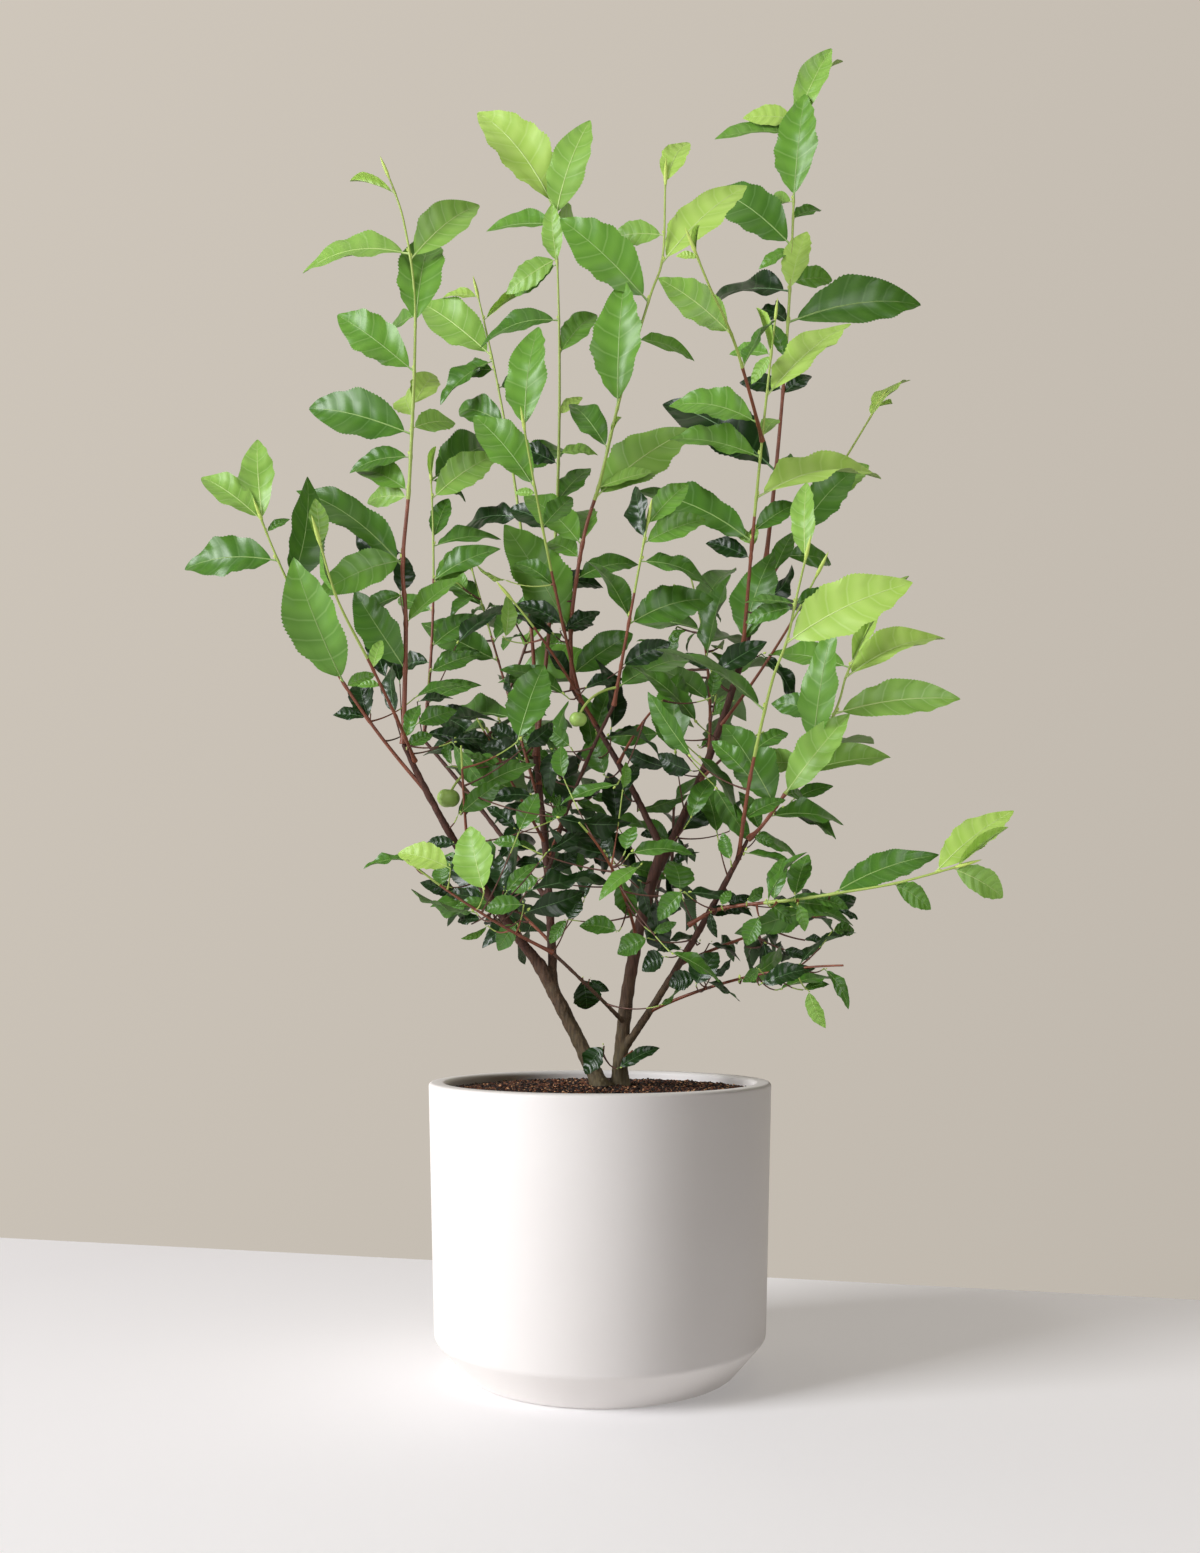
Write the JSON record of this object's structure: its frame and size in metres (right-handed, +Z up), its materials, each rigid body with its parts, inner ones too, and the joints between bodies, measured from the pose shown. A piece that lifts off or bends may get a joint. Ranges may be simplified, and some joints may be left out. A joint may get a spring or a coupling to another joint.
{
  "type": "potted tea bush",
  "caption": "Young tea bush with slender forked stems, leafy shoots and small fruits, standing in a round white pot filled with potting mix.",
  "frame": {"origin": "middle of the pot's flat underside", "axes": "+Z up along the pot's axis, the fuller face of the bush towards -Y, +X to the right of a viewer who faces it"},
  "size_m": [0.555, 0.3974, 1.0113],
  "materials": {
    "pot": "matte",
    "potting_mix": "matte",
    "bark": "matte",
    "foliage": "satin"
  },
  "bodies": {
    "root": {"pot": "pot", "potting_mix": "potting_mix", "stem_left": "bark", "stem_right": "bark", "stem_side": "bark", "bough_left": "bark", "bough_back": "bark", "bough_inner": "bark", "bough_crossing": "bark", "bough_centre": "bark", "bough_right": "bark", "branch_low": "bark", "shoot_tallest": "foliage", "shoot_left_tall": "foliage", "shoot_top_centre": "foliage", "shoot_centre": "foliage", "shoot_back_top": "foliage", "shoot_far_left": "foliage", "shoot_side_outer": "foliage", "shoot_right_low": "foliage", "shoot_right_back": "foliage", "shoot_centre_left": "foliage", "shoot_right_inner": "foliage", "shoot_right_front": "foliage", "shoot_left_inner": "foliage", "shoot_left_side": "foliage", "shoot_side_upright": "foliage", "shoot_crossing": "foliage", "shoot_back_right": "foliage", "shoot_back_left": "foliage", "spray_inner_left": "foliage", "spray_centre_mid": "foliage", "spray_right_mid": "foliage", "spray_left_mid": "foliage", "spray_right_upper": "foliage", "spray_upper_centre": "foliage", "spray_back_mid": "foliage", "spray_centre_front": "foliage", "spray_centre_back": "foliage", "spray_left_back": "foliage", "spray_right_front": "foliage", "spray_right_back": "foliage", "spray_low_left": "foliage", "sucker_left": "foliage", "sucker_right": "foliage"}
  },
  "joints": []
}
